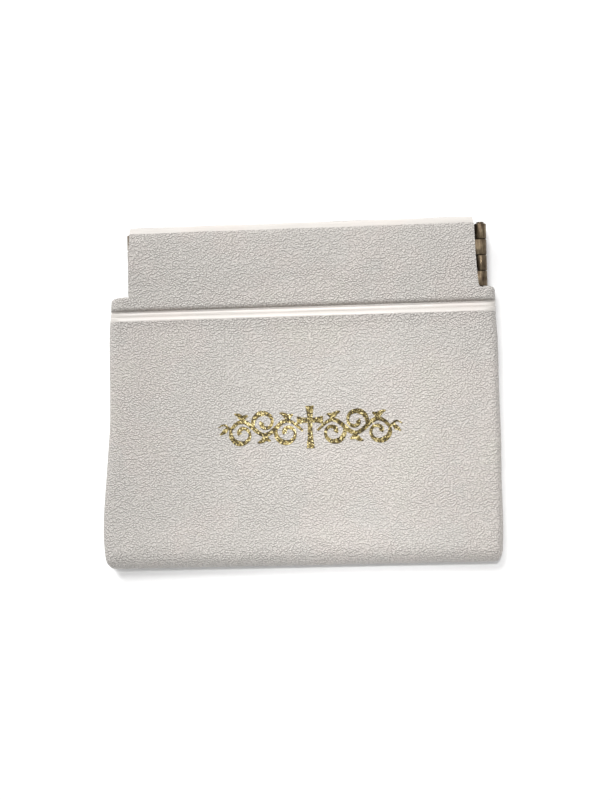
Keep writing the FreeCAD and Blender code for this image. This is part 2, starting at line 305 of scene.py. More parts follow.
def grained_vinyl():
    """Soft vinyl with a pressed leather grain: small low pebbles close together, with painted shade that
    darkens the creases between them.
    """
    material, tree, shader = new_material("grained_vinyl")
    plain = place(tree)
    inputs = {"Vector": place(tree, GRAIN_STRETCH), "Scale": GRAIN_SCALE, "Randomness": 0.9}
    found = add(tree, "ShaderNodeTexVoronoi", inputs, feature="F1").outputs["Distance"]
    pebble = ramp(tree, found, (0.1, 1.0), (0.4, 0.7), (0.75, 0.0))
    swell = noise(tree, plain, 700, detail=2)
    # painted shade: the colour darkens from the pebbles' middles towards the creases between them
    shade = ramp(tree, found, (0.25, 1.08), (0.8, 0.8))
    colour = tint(tree, vinyl_colour(tree, plain), shade)
    gloss = ramp(tree, found, (0.2, 0.34), (0.7, 0.5))
    finish(tree, shader, colour, gloss, (pebble, 1.0, 0.3), (swell, 0.4, 0.1))
    return material


def pressed_vinyl():
    """The same vinyl where the weld bar has ironed the grain out, with faint lines along it."""
    material, tree, shader = new_material("pressed_vinyl")
    plain = place(tree)
    lines = noise(tree, place(tree, (0.05, 1, 1)), 2600)
    soft = noise(tree, plain, 320)
    shade = ramp(tree, lines, (0.3, 0.96), (0.7, 1.03))
    colour = tint(tree, vinyl_colour(tree, plain), shade)
    gloss = ramp(tree, lines, (0.3, 0.3), (0.7, 0.38))
    finish(tree, shader, colour, gloss, (lines, 0.6, 0.07), (soft, 0.4, 0.08))
    return material


def lining_vinyl():
    """The vinyl's inner side: matt, with a fine woven backing."""
    material, tree, shader = new_material("lining_vinyl")
    where = place(tree)
    warp, weft = (
        add(tree, "ShaderNodeTexWave", {"Vector": where, "Scale": 620}, bands_direction=axis)
        for axis in ("X", "Y")
    )
    height = arithmetic(tree, "MULTIPLY", warp.outputs["Fac"], weft.outputs["Fac"])
    colour = ramp(tree, height, (0.0, times(VINYL, 0.86)), (0.6, times(VINYL, 1.08)))
    gloss = ramp(tree, height, (0.0, 0.95), (1.0, 0.8))
    finish(tree, shader, colour, gloss, (height, 0.6, 0.06))
    return material


def gold_foil():
    """Stamped foil: dark olive gold with bright broken flecks."""
    material, tree, shader = new_material("gold_foil")
    where = place(tree)
    fleck = cells(tree, where, 3400)
    cloud = noise(tree, where, 1100, detail=3)
    mixed = arithmetic(tree, "ADD", fleck["Red"], cloud)
    dark, olive = (0.018, 0.013, 0.005), (0.075, 0.055, 0.02)
    gold, bright = (0.23, 0.175, 0.06), (0.62, 0.53, 0.28)
    level = arithmetic(tree, "MULTIPLY", mixed, 0.66)
    colour = ramp(tree, level, (0.3, dark), (0.58, olive), (0.82, gold), (0.98, bright))
    gloss = ramp(tree, fleck["Green"], (0.0, 0.22), (1.0, 0.5))
    shader.inputs["Metallic"].default_value = 0.7
    finish(tree, shader, colour, gloss, (fleck["Blue"], 0.8, 0.08))
    return material


def antique_brass():
    """Dull plated hinge metal with long file marks, rubbed bright here and there."""
    material, tree, shader = new_material("antique_brass")
    streaks = noise(tree, place(tree, (1, 0.12, 1)), 2600, detail=4, roughness=0.7)
    patches = noise(tree, place(tree), 420, detail=3)
    both = arithmetic(tree, "ADD", streaks, arithmetic(tree, "MULTIPLY", patches, 0.6))
    level = arithmetic(tree, "MULTIPLY", both, 0.625)
    dark, brown = (0.035, 0.022, 0.014), (0.11, 0.08, 0.05)
    brass, worn = (0.19, 0.145, 0.09), (0.5, 0.43, 0.3)
    colour = ramp(tree, level, (0.36, dark), (0.47, brown), (0.58, brass), (0.68, worn))
    gloss = ramp(tree, streaks, (0.3, 0.5), (0.7, 0.3))
    shader.inputs["Metallic"].default_value = 0.8
    finish(tree, shader, colour, gloss, (streaks, 0.6, 0.03))
    return material


def spring_steel():
    """Bright spring strip with long drawing marks."""
    material, tree, shader = new_material("spring_steel")
    lines = noise(tree, place(tree, (0.04, 1, 1)), 2400, detail=4, roughness=0.6)
    colour = ramp(tree, lines, (0.3, (0.22, 0.22, 0.23)), (0.7, (0.46, 0.46, 0.45)))
    gloss = ramp(tree, lines, (0.3, 0.28), (0.7, 0.42))
    shader.inputs["Metallic"].default_value = 1.0
    finish(tree, shader, colour, gloss, (lines, 0.3, 0.02))
    return material


GRAIN = grained_vinyl()
PRESSED = pressed_vinyl()
LINING = lining_vinyl()
FOIL = gold_foil()
BRASS = antique_brass()
STEEL = spring_steel()
SKIN_MATERIALS = [GRAIN, LINING, PRESSED]
GRAINED, LINED, SMOOTH = range(3)  # places in SKIN_MATERIALS


# ---------------------------------------------------------------- the pouch's outline

# how far the side edges are from the middle: (distance above the middle, distance to the side)
LEFT_EDGE = [(-40, 44.6), (FOLD, 44.9), (-36.3, 45.4), (-33, 45.7), (-29, 45.8), (-24, 45.5)]
LEFT_EDGE += [(-19, 45.0), (-13, 44.4), (-6, 43.75), (2, 43.5), (10, 43.35), (15, 43.2), (22, 42.6)]
RIGHT_EDGE = [(-40, 42.6), (FOLD, 42.8), (-35, 43.2), (-29, 43.45), (-20, 43.35), (-11, 43.5)]
RIGHT_EDGE += [(0, 43.35), (10, 43.35), (16, 43.05), (22, 42.9)]
EDGE_STEP = 0.5
LEFT_CURVE = smooth_curve(LEFT_EDGE, EDGE_STEP)
RIGHT_CURVE = smooth_curve(RIGHT_EDGE, EDGE_STEP)

SIDE_ROLL = 2.6  # how far in from the side edges the faces begin to turn down
FOLD_ROLL = 4.4  # the same, above the fold
SIDE_ROUND = 0.86  # the power of the side's quarter circle: below 1 it is squarer than round
FOLD_TIGHT = 0.24  # how much the fold's outward power is above the side's
FOLD_SLOPE = 0.22  # how much the fold's height power is below the side's
CORNER_POWER = 4
TINY = 1e-9
FOLD_SETTLE = 2.2  # how far the fold lies below the middle plane, towards the table
LIP_RADIUS = 0.3
RIDGE = 1.1  # height of the smooth ridge along the lip
SEAM_PINCH = 0.22  # the side seam draws the edge in by this share of the roll


def side_edge(side, y):
    """How far the side edge is from x = 0 at the height y. side is -1 on the left and 1 on the right."""
    curve = LEFT_CURVE if side < 0 else RIGHT_CURVE
    return np.interp(y, curve[:, 0], curve[:, 1])


def pouch_surface(face, across, along, inset, dent, lip=0.0):
    """Points on one face. across is -1 to 1 on the flat and to 2 down the sides. along is 0 to 1
    on the flat and to -1 down the fold. inset moves the points inwards and dent lowers the flat."""
    side_share = np.clip(np.abs(across) - 1, 0, 1)
    fold_share = np.clip(-along, 0, 1)
    share = np.maximum(side_share, fold_share)
    corner = (side_share**CORNER_POWER + fold_share**CORNER_POWER) ** (1 / CORNER_POWER)
    corner = np.maximum(corner, TINY)
    angle = share * math.pi / 2
    # the sides are round, and the fold slopes down to a tight edge
    folded = fold_share / np.maximum(side_share + fold_share, TINY)
    out = np.sin(angle) ** (SIDE_ROUND + FOLD_TIGHT * folded)
    height = np.cos(angle) ** (SIDE_ROUND - FOLD_SLOPE * folded)
    pinch = SEAM_PINCH * smoothstep(0.7, 1, side_share) * (1 - folded)
    y_flat = FOLD + FOLD_ROLL + np.clip(along, 0, 1) * (LIP - LIP_RADIUS - FOLD - FOLD_ROLL)
    y = y_flat - out * (FOLD_ROLL - inset) * fold_share / corner + lip
    sideways = (out - pinch) * (SIDE_ROLL - inset) * side_share / corner
    left, right = (side_edge(side, y) - SIDE_ROLL for side in (-1, 1))
    flat_across = np.clip(across, -1, 1)
    x = np.where(across < 0, flat_across * left - sideways, flat_across * right + sideways)
    z = (HALF_THICK - inset) * height - dent * (1 - share)
    settled = FOLD_SETTLE * fold_share * folded * (1 - height)
    return np.stack([x, y, MIDDLE + face * z - settled], -1)


# how far a panel's flat lies below its highest level: (distance above the middle, depth)
SAG = [(FOLD, 0), (-36, 0), (-34, 0.02), (-31.5, 0.16), (-28.5, 0.42), (-25, 0.46), (-20, 0.36)]
SAG += [(-10, 0.3), (0, 0.36), (8, 0.5), (13, 0.48), (15, 0.38), (16.3, 0.22), (LIP - 1.15, 0.07)]
SAG += [(LIP - 0.85, 0.0), (LIP - 0.5, 0.08), (LIP - 0.15, 0.2), (LIP, 0.28)]
SAG_CURVE = smooth_curve(SAG, 0.4)

# unevenness by layer: (seed, number of waves, shortest, longest, depth)
DENTS = [(11, 7, 24, 55, 0.2), (21, 9, 9, 19, 0.07)]
FLAT_FROM_FOLD = 6  # the dents fade out within this distance of the fold
FLAT_FROM_LIP = (1.3, 5)  # between these distances from the lip
FLAT_FROM_SIDE = (-0.5, 5)  # and between these from HALF_WIDTH
HALF_WIDTH = 43


def panel_dent(face, x, y):
    """The panel's gentle unevenness, which fades out at its edges."""
    dents = 0
    for seed, count, shortest, longest, depth in DENTS:
        dents = dents + depth * waves(seed + face, count, shortest, longest)(x, y)
    sag = np.interp(y, SAG_CURVE[:, 0], SAG_CURVE[:, 1])
    inner = smoothstep(0, FLAT_FROM_FOLD, y - FOLD) * smoothstep(*FLAT_FROM_LIP, LIP - y)
    inner = inner * smoothstep(*FLAT_FROM_SIDE, HALF_WIDTH - np.abs(x))
    return np.clip(sag + inner * dents, 0, 1)


# ---------------------------------------------------------------- how the soft skins open

mouth = next(j for j in frame["joints"] if j["name"] == "mouth_squeeze")
OPEN_ANGLE = math.radians(mouth["range_deg"][1]) / 2
LEAF_REACH = 9.7  # from a pin to the end of its leaf: the strips bend only between the leaves
FOLD_STILL = 0.5  # the panels stay together up to this distance from the fold
FOLD_BEND = 9.0  # and part freely from this one
ARC_POINTS = 801


def mouth_profile(x):
    """How far a casing stands off the middle plane at x when the mouth is fully open."""
    stiff = PIN_TO_MIDDLE - LEAF_REACH
    along = np.linspace(-PIN_TO_MIDDLE, PIN_TO_MIDDLE, ARC_POINTS)
    lean = OPEN_ANGLE * (2 * smoothstep(-stiff, stiff, along) - 1)
    height = PIN_TO_MIDDLE * math.sin(OPEN_ANGLE) - np.abs(along) * np.sin(np.abs(lean))
    return np.interp(x, FRAME_MIDDLE + along * np.cos(lean), height, left=0, right=0)


def opening_share(points):
    """0 where a skin stays with the side seams, and 1 where it goes as far as the mouth does."""
    reach = WELD - FOLD
    most = math.asin(PIN_TO_MIDDLE * math.sin(OPEN_ANGLE) / reach)
    share = np.arcsin(mouth_profile(points[:, 0]) / reach) / most
    return share * smoothstep(FOLD + FOLD_STILL, FOLD + FOLD_BEND, points[:, 1])


def object_points(piece):
    """A mesh's points, in millimetres."""
    points = np.empty(len(piece.data.vertices) * 3, np.float32)
    piece.data.vertices.foreach_get("co", points)
    return points.reshape(-1, 3).astype(float) / MM


def bend_skin(piece, face):
    """Bakes a skin's placement into its mesh. The share by which it would open between the side seams
    and its panel's own body is worked out but not used.
    """
    share = opening_share(object_points(piece))
    if face > 0:
        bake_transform(piece)
    else:
        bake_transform(piece)
        share = 1 - share


def bend_with_strip(piece):
    """Bakes a casing's or strip's placement into its mesh; it is not bent between its two leaves."""
    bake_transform(piece)


FACES = {"front": 1, "back": -1}


# ---------------------------------------------------------------- panels


SIDE_COLUMNS = 10
FLAT_COLUMNS = 190
FOLD_ROWS = 15
FLAT_ROWS = 112
LIP_ROWS = 14
LIP_SHARE = 0.045  # the rows are closer in this last share of the flat
TURN_ROWS = 8


def make_skin(side):
    """One vinyl panel, turned under at the sides and the fold, with a rounded upper lip."""
    face = FACES[side]
    rolls = np.linspace(1, 2, SIDE_COLUMNS)[1:]
    across = np.concatenate([-rolls[::-1], np.linspace(-1, 1, FLAT_COLUMNS), rolls])
    in_fold = np.linspace(-1, 0, FOLD_ROWS)[:-1]
    on_flat = np.linspace(0, 1 - LIP_SHARE, FLAT_ROWS)[:-1]
    near_lip = 1 - np.linspace(LIP_SHARE, 0, LIP_ROWS)
    along = np.concatenate([in_fold, on_flat, near_lip])
    turn = np.concatenate([np.zeros(len(along)), np.linspace(0, math.pi / 2, TURN_ROWS)[1:]])
    along = np.concatenate([along, np.ones(len(turn) - len(along))])
    a, b = np.meshgrid(across, along)
    turn = np.broadcast_to(turn[:, None], a.shape)
    inset, lip = LIP_RADIUS * (1 - np.cos(turn)), LIP_RADIUS * np.sin(turn)
    level = pouch_surface(face, a, b, inset, 0.0, lip)
    dent = panel_dent(face, level[..., 0], level[..., 1])
    outer = pouch_surface(face, a, b, inset, dent, lip)
    inner = pouch_surface(face, a, b, np.full_like(a, SKIN), dent, lip)
    points, faces, marks = shell(outer, inner)
    marks = [SMOOTH if points[f[0]][1] > LIP - RIDGE else m for f, m in zip(faces, marks)]
    skin = make_mesh(f"{side}_panel_skin", points, faces, SKIN_MATERIALS, marks)
    bend_skin(skin, face)
    return skin


front_skin = make_skin("front")
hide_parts("front_panel")
back_skin = make_skin("back")
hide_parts("back_panel", "bottom_fold")


# ---------------------------------------------------------------- casings

# sections are lists of (y, distance from the middle plane)
BAND_TAIL = LIP - 1.5  # the band's lower edge, tucked under the panel's lip
BAND_TOP = 2.72  # the band's outer face is about this far from the middle plane
BAND_UNDER = 1.0  # and its inner face this far
SECTION_STEP = 0.3
FLAP_STEP = 0.5
HOLLOW_STEP = 0.8
STRAIGHT_POINTS = 14
BAND_OUTSIDE = [
    (BAND_TAIL, BAND_TOP - 0.85),
    (LIP - 0.8, BAND_TOP - 0.6),
    (LIP - 0.25, BAND_TOP - 0.36),
    (LIP + 0.05, BAND_TOP - 0.26),
    (LIP + 0.4, BAND_TOP - 0.24),
    (LIP + 0.72, BAND_TOP - 0.26),
]
CREASE = [
    (WELD - 0.8, BAND_TOP - 0.4),
    (WELD - 0.74, BAND_TOP - 0.85),
    (WELD - 0.66, BAND_TOP - 1.3),
    (WELD - 0.32, BAND_TOP - 1.32),
    (WELD - 0.24, BAND_TOP - 0.85),
    (WELD - 0.1, BAND_TOP - 0.46),
    (WELD + 0.12, BAND_TOP - 0.16),
    (WELD + 0.46, BAND_TOP + 0.08),
]
HEM = [
    (WELD + 0.9, BAND_TOP + 0.12),
    (WELD + 2.6, BAND_TOP + 0.3),
    (WELD + 5.5, BAND_TOP + 0.6),
    (WELD + 8.5, BAND_TOP + 0.82),
    (WELD + 12.0, BAND_TOP + 0.88),
    (WELD + 14.6, BAND_TOP + 0.8),
    (WELD + 16.2, BAND_TOP + 0.6),
    (WELD + 17.2, BAND_TOP + 0.26),
    (WELD + 17.8, BAND_TOP - 0.3),
    (TOP - 0.06, BAND_TOP - 1.0),
    (TOP, BAND_TOP - 1.8),
    (TOP - 0.3, 0.42),
    (TOP - 1.0, 0.08),
    (TOP - 2.2, 0.04),
]
FLAP = [
    (WELD + 1.2, 0.04),
    (WELD + 0.4, 0.12),
    (WELD, 0.55),
    (WELD - 0.3, BAND_UNDER),
    (BAND_TAIL, BAND_UNDER),
]
HOLLOW = [
    (WELD + 1.5, 0.68),
    (WELD + 6.0, 0.68),
    (TOP - 6.0, 0.68),
    (TOP - 2.4, 0.68),
    (TOP - 1.35, 0.95),
    (TOP - 1.0, 1.45),
    (TOP - 1.5, 1.85),
    (TOP - 2.9, 2.25),
    (WELD + 12.0, 2.7),
    (WELD + 7.0, 2.55),
    (WELD + 2.2, 2.1),
    (WELD + 1.3, 1.8),
    (WELD + 1.15, 1.2),
]
STRETCHED = 1.5  # the grain is stretched smooth this far down from the casing's top
NOTCH = 22.75  # the casing is cut narrower above this height, to let the hinges out
NOTCH_DEEP = 0.35  # the corner of the notch is this high
RELIEF = 1.5  # behind the hinge's barrel the inner layer ends this far inwards of the pin
LEFT_RELIEF = LEFT_PIN + RELIEF
RIGHT_RELIEF = RIGHT_PIN - RELIEF
RELIEF_OFF = (1.1, 1.7)  # the cut-back layer lies within these distances of the middle plane
RELIEF_START = (NOTCH - 0.3, NOTCH + 0.2)
RELIEF_END = (36.8, 37.4)
SHOULDER_OUT = 0.2  # the casing reaches this far past the pins below the notch
LEFT_SHOULDER = LEFT_PIN - SHOULDER_OUT
RIGHT_SHOULDER = RIGHT_PIN + SHOULDER_OUT
CAP_SPLIT = 0.7  # the casing's ends are solid up to this height above the weld
# the casing's cut ends: (distance above the middle, x)
LEFT_CUT = [(NOTCH + 0.05, -38.3), (25, -38.2), (31, -38.0), (34, -37.85), (TOP, -37.6)]
RIGHT_CUT = [(NOTCH + 0.05, 39.2), (24.5, 39.05), (27, 38.85), (30, 38.65), (36, 38.5), (TOP, 38.2)]


def casing_end(side, y, off):
    """The x of a casing's end: a slanted cut above the notch, and out to the shoulder below it.
    The inner layer is cut back behind the hinge's barrel."""
    cut, shoulder = (LEFT_CUT, LEFT_SHOULDER) if side < 0 else (RIGHT_CUT, RIGHT_SHOULDER)
    heights, ends = zip((NOTCH - NOTCH_DEEP, shoulder), *cut)
    end = np.interp(y, heights, ends)
    behind = (1 - smoothstep(*RELIEF_OFF, off)) * smoothstep(*RELIEF_START, y)
    behind *= 1 - smoothstep(*RELIEF_END, y)
    return end + behind * ((LEFT_RELIEF if side < 0 else RIGHT_RELIEF) - end)


def loft(rings, start=0):
    """Quads between closed rings of one size, and each quad's place round its ring."""
    size = len(rings[0])
    faces = []
    places = []
    for i in range(len(rings) - 1):
        for k in range(size):
            a, b = start + i * size + k, start + i * size + (k + 1) % size
            faces.append((a, a + size, b + size, b))
            places.append(k)
    return faces, places


def closed_loft(rings, start=0):
    """Closed rings joined into one solid: its faces, and the place round the ring of each quad."""
    size = len(rings[0])
    end = start + len(rings) * size
    faces, places = loft(rings, start)
    faces.append(tuple(range(start, start + size)))
    faces.append(tuple(reversed(range(end - size, end))))
    return faces, places


def end_cap(section, hollow, outer_start, hollow_start):
    """Faces between a section and its hollow, turned towards -x: one for the solid tail, and
    triangles walked round the rest and the hollow."""
    size = len(section)
    above = np.flatnonzero(section[:, 0] > WELD + CAP_SPLIT)
    first, last = above[0], above[-1]
    tail = list(range(last, size)) + list(range(first + 1))
    ring = list(range(first, last + 1))
    hollow_order = list(range(len(hollow)))[::-1]
    gaps = np.linalg.norm(section[ring][:, None] - hollow[hollow_order][None], axis=2)
    i, j = np.unravel_index(gaps.argmin(), gaps.shape)
    outer = [(i + k) % len(ring) for k in range(len(ring) + 1)]
    inner = [(j + k) % len(hollow) for k in range(len(hollow) + 1)]
    faces = [tuple(outer_start + k for k in tail)]
    i = j = 0
    while i < len(ring) or j < len(hollow):
        here = (outer_start + ring[outer[i]], hollow_start + hollow_order[inner[j]])
        along_outer = gaps[outer[i + 1], inner[j]] if i < len(ring) else math.inf
        along_inner = gaps[outer[i], inner[j + 1]] if j < len(hollow) else math.inf
        if along_outer <= along_inner:
            i += 1
            faces.append((here[0], outer_start + ring[outer[i]], here[1]))
        else:
            j += 1
            faces.append((here[0], hollow_start + hollow_order[inner[j]], here[1]))
    return faces


# unevenness of the casing: (seed, number of waves, shortest, longest)
CASING_BROAD = (31, 8, 14, 40)
CASING_SMALL = (41, 8, 6, 13)
CASING_SINK = 0.06
BROAD_DEPTH = 0.07
SMALL_DEPTH = 0.03
SINK_FROM = (WELD + 2, WELD + 5)
SINK_OFF = (1.6, 2.6)  # only the outer layer sinks, which lies this far from the middle plane
TOP_WAVER = 0.1
TOP_WAVER_REACH = 3
WAVER_PITCH = 1.3
BACK_RISE = 0.3  # the back casing's top edge stands this much higher
CASING_RINGS = 150
END_RINGS = (0, 0.4, 0.9)  # rings close to an end, and the even ones begin at EVEN_START
EVEN_START = 1.5
PRESSED_BELOW = WELD - 0.3  # the weld bar presses the vinyl below this height


def casing_shares():
    """Where a casing's rings lie, from 0 at its left end to 1 at its right, closer at both ends."""
    long = RIGHT_SHOULDER - LEFT_SHOULDER
    even = np.linspace(EVEN_START, long - EVEN_START, CASING_RINGS)
    far = [long - near for near in reversed(END_RINGS)]
    return np.concatenate([END_RINGS, even, far]) / long


def make_casing(side):
    """A hem tunnel in one piece, with the pressed band that tucks under its panel."""
    face = FACES[side]
    outside = smooth_curve(BAND_OUTSIDE + CREASE + HEM, SECTION_STEP)
    flap = smooth_curve(FLAP, FLAP_STEP)
    straight = np.linspace(outside[-1], flap[0], STRAIGHT_POINTS)[1:-1]
    section = np.concatenate([outside, straight, flap])
    hollow = smooth_curve(HOLLOW, HOLLOW_STEP, closed=True)
    uneven, small = (waves(seed + face, *rest) for seed, *rest in (CASING_BROAD, CASING_SMALL))
    shares = casing_shares()

    def ring(profile, share):
        y, off = profile[:, 0].copy(), profile[:, 1].copy()
        left, right = (casing_end(s, y, off) for s in (-1, 1))
        x = left + share * (right - left)
        sinks = smoothstep(*SINK_FROM, y) * smoothstep(*SINK_OFF, off)
        off -= sinks * (CASING_SINK + BROAD_DEPTH * uneven(x, y) + SMALL_DEPTH * small(x, y))
        rise = TOP_WAVER * uneven(x * WAVER_PITCH, 0 * x) + (BACK_RISE if face < 0 else 0)
        y += smoothstep(TOP - TOP_WAVER_REACH, TOP, y) * rise
        return np.stack([x, y, MIDDLE + face * off], -1)

    outer_rings = [ring(section, s) for s in shares]
    hollow_rings = [ring(hollow, s) for s in shares]
    points = np.concatenate(outer_rings + hollow_rings)
    hollow_start = len(section) * len(shares)
    faces, places = loft(outer_rings)
    smooth = (section[:, 0] < PRESSED_BELOW) | (section[:, 0] > TOP - STRETCHED)
    pressed = smooth & (section[:, 1] > BAND_UNDER + 0.1)
    marks = [SMOOTH if pressed[k] else GRAINED for k in places]
    inside = loft(hollow_rings, hollow_start)[0]
    faces += inside
    marks += [LINED] * len(inside)
    last = len(shares) - 1
    caps = end_cap(section, hollow, 0, hollow_start)
    far = end_cap(section, hollow, last * len(section), hollow_start + last * len(hollow))
    faces += caps + [face_corners[::-1] for face_corners in far]
    marks += [GRAINED] * (len(caps) + len(far))
    made = make_mesh(f"{side}_casing", points, faces, SKIN_MATERIALS, marks)
    bend_with_strip(made)
    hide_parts(f"{side}_casing_left", f"{side}_casing_right", f"{side}_weld_band")


for side in FACES:
    make_casing(side)


# ---------------------------------------------------------------- shoulders and side seams

SHOULDER_TOP = [
    (WELD + 0.9, BAND_TOP + 0.12),
    (WELD + 1.8, BAND_TOP + 0.21),
    (WELD + 2.45, BAND_TOP + 0.2),
    (WELD + 2.75, BAND_TOP - 0.1),
    (WELD + 2.85, BAND_TOP - 0.9),
    (WELD + 2.85, 0.6),
]
SHOULDER_RINGS = 26
SHOULDER_REACH = 0.96  # share of the quarter circle that the rings follow
SHOULDER_INSET = 0.06  # the shoulder ends this far inside the pouch's edge
SHOULDER_POWER = 3.2  # above 2 its end is squarer than round
SHOULDER_DROP = 1.5  # its upper corner comes down by up to this much
TONGUE_MIDDLE = WELD - 1.9
TONGUE_HALF = 1.45
TONGUE_THICK = 0.85
TONGUE_CORNERS = 24
TONGUE_POWERS = (0.4, 0.8)  # its section's corners are squarer than an ellipse's
# the tongue's rings: (how far inwards of the shoulder's start, size)
TONGUE_RINGS = [(-1.2, 1.0), (0, 1.0), (2.0, 1.0), (3.6, 0.9), (4.2, 0.7), (4.5, 0.4)]


def tongue_rings(side, inside):
    """A tongue between the casings' bands, which shows only when the mouth is open."""
    turn = np.linspace(0, math.tau, TONGUE_CORNERS, endpoint=False)
    across, up = np.cos(turn), np.sin(turn)
    wide = np.sign(across) * np.abs(across) ** TONGUE_POWERS[0]
    high = np.sign(up) * np.abs(up) ** TONGUE_POWERS[1]
    rings = []
    for inwards, size in TONGUE_RINGS:
        y = TONGUE_MIDDLE + wide * TONGUE_HALF * size
        z = MIDDLE + high * TONGUE_THICK * size
        rings.append(np.stack([np.full_like(y, side * (abs(inside) - inwards)), y, z], -1))
    return rings


def make_shoulder(name, side, inside, replaced):
    """The soft end of the casings' sheets beside a hinge, rounded over to the pouch's edge."""
    half = smooth_curve(BAND_OUTSIDE + CREASE + SHOULDER_TOP, SECTION_STEP)
    section = np.concatenate([half, half[::-1] * [1, -1]])
    pressed = section[:, 0] < PRESSED_BELOW
    shares = np.sin(np.linspace(0, SHOULDER_REACH * math.pi / 2, SHOULDER_RINGS))
    rings = []
    for share in shares:
        y, off = section[:, 0], section[:, 1]
        outside = side_edge(side, y) - SHOULDER_INSET
        x = abs(inside) + share * (outside - abs(inside))
        roundness = (1 - share**SHOULDER_POWER) ** (1 / SHOULDER_POWER)
        upper = smoothstep(SHOULDER_TOP[0][0], SHOULDER_TOP[-1][0], y)
        drop = upper * (1 - roundness) * SHOULDER_DROP
        rings.append(np.stack([side * x, y - drop, MIDDLE + off * roundness], -1))
    faces, places = closed_loft(rings)
    marks = [SMOOTH if pressed[k] else GRAINED for k in places]
    tongue = tongue_rings(side, inside)
    faces += closed_loft(tongue, len(rings) * len(section))[0]
    marks += [GRAINED] * (len(faces) - len(marks))
    points = np.concatenate(rings + tongue)
    made = make_mesh(name, points, faces, SKIN_MATERIALS, marks)
    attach(made, "sides")
    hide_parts(replaced)
    return made


seam_pieces = [
    make_shoulder("left_shoulder", -1, LEFT_SHOULDER, "left_side_seam"),
    make_shoulder("right_shoulder", 1, RIGHT_SHOULDER, "right_side_seam"),
]

ALLOWANCE_LOW = FOLD + 5.5
ALLOWANCE_HIGH = LIP - 0.8
ALLOWANCE_IN = 4.4  # from the side edge to the allowance's free edge
ALLOWANCE_WIDE = 3.2
ALLOWANCE_LAYERS = ((-0.62, -0.03), (0.03, 0.62))  # heights from the middle plane
ALLOWANCE_WAVES = (61, 6, 9, 22)  # (seed, number of waves, shortest, longest)
EDGE_WAVER = 0.25
LAYER_WAVER = 0.2
ALLOWANCE_COLUMNS, ALLOWANCE_ROWS = 9, 90


def make_seam_allowance(name, side):
    """Two turned-in layers of vinyl that stand in from the side edge, a little wavy."""
    rows = np.linspace(ALLOWANCE_LOW, ALLOWANCE_HIGH, ALLOWANCE_ROWS)
    c, y = np.meshgrid(np.linspace(0, 1, ALLOWANCE_COLUMNS), rows)
    seed, *rest = ALLOWANCE_WAVES
    uneven = waves(seed + side, *rest)
    waver = EDGE_WAVER * uneven(y * 1.7, c * 3) * (1 - c)
    x = side_edge(side, y) - ALLOWANCE_IN + c * ALLOWANCE_WIDE + waver
    wave = LAYER_WAVER * uneven(y, c * 4) * (1 - c)
    points, faces = [], []
    for low, high in ALLOWANCE_LAYERS:
        under, upper = (np.stack([side * x, y, MIDDLE + level + wave], -1) for level in (low, high))
        more, quads, _ = shell(upper, under, len(points))
        points += more.tolist()
        faces += quads
    made = make_mesh(name, points, faces, [LINING])
    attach(made, "sides")
    return made


seam_pieces.append(make_seam_allowance("left_seam_allowance", -1))
seam_pieces.append(make_seam_allowance("right_seam_allowance", 1))


# ---------------------------------------------------------------- frame

STRIP_NEAR = strip_low[2] - MIDDLE
STRIP_THICK = strip_high[2] - strip_low[2]
STRIP_LOW, STRIP_HIGH = strip_low[1], strip_high[1]
STRIP_CORNER = 1.5
STRIP_DISH = 0.18
DISH_FADE = 6  # the dish fades in over this distance from a leaf
STRIP_COLUMNS, STRIP_ROWS = 130, 15


def make_strip(side):
    """One spring strip with rounded corners, dished like a steel tape between its leaves."""
    face = FACES[side]
    left = node_box(f"{side}_strip_left")[0][0]
    right = node_box(f"{side}_strip_right")[1][0]
    centre, half = (STRIP_LOW + STRIP_HIGH) / 2, (STRIP_HIGH - STRIP_LOW) / 2
    rows = np.linspace(STRIP_LOW, STRIP_HIGH, STRIP_ROWS)
    x, y = np.meshgrid(np.linspace(left, right, STRIP_COLUMNS), rows)
    from_end = np.clip(np.minimum(x - left, right - x), 0, STRIP_CORNER)
    shrink = STRIP_CORNER - np.sqrt(STRIP_CORNER**2 - (STRIP_CORNER - from_end) ** 2)
    y = centre + (y - centre) * (1 - shrink / half)
    free = smoothstep(0, DISH_FADE, PIN_TO_MIDDLE - LEAF_REACH - np.abs(x - FRAME_MIDDLE))
    off = STRIP_NEAR + STRIP_DISH * free * (1 - ((y - centre) / half) ** 2)
    outer = np.stack([x, y, MIDDLE + face * (off + STRIP_THICK)], -1)
    inner = np.stack([x, y, MIDDLE + face * off], -1)
    made = make_mesh(f"{side}_spring_strip", *shell(outer, inner)[:2], [STEEL])
    bend_with_strip(made)
    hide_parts(f"{side}_strip_left", f"{side}_strip_right")


for side in FACES:
    make_strip(side)

BARREL = 1.3  # a knuckle's radius
BORE = 0.68  # the radius of its hole
CURL = (90, 374)  # the knuckle's sheet is rolled between these angles, in degrees
CURL_POINTS = 34
BRIDGE = 0.3  # the knuckle's section runs this far into the plate
PLATE_UNDER = 0.9  # a leaf's plate lies from here out to the barrel's radius
PLATE_START = 1.7
PLATE_END = 9.5
KNUCKLES = 4
KNUCKLE_GAP = 0.1
CHAMFER = [(0, 0.13), (0.05, 0.045), (0.13, 0)]  # (from the edge, inwards)


def inset_ring(ring, depth):
    """A closed outline, moved inwards."""
    run = np.roll(ring, -1, 0) - np.roll(ring, 1, 0)
    run /= np.linalg.norm(run, axis=1)[:, None]
    after = np.roll(ring, -1, 0)
    turn = np.sign((ring[:, 0] * after[:, 1] - after[:, 0] * ring[:, 1]).sum())
    return ring + turn * depth * np.stack([-run[:, 1], run[:, 0]], -1)


def slab(ring, low, high, place_point, start):
    """A plate of one outline from low to high with chamfered edges: its points and faces."""
    levels = [(low + rise, depth) for rise, depth in CHAMFER]
    levels += [(high - rise, depth) for rise, depth in reversed(CHAMFER)]
    rings = [place_point(inset_ring(ring, depth), level) for level, depth in levels]
    return np.concatenate(rings), closed_loft(rings, start)[0]


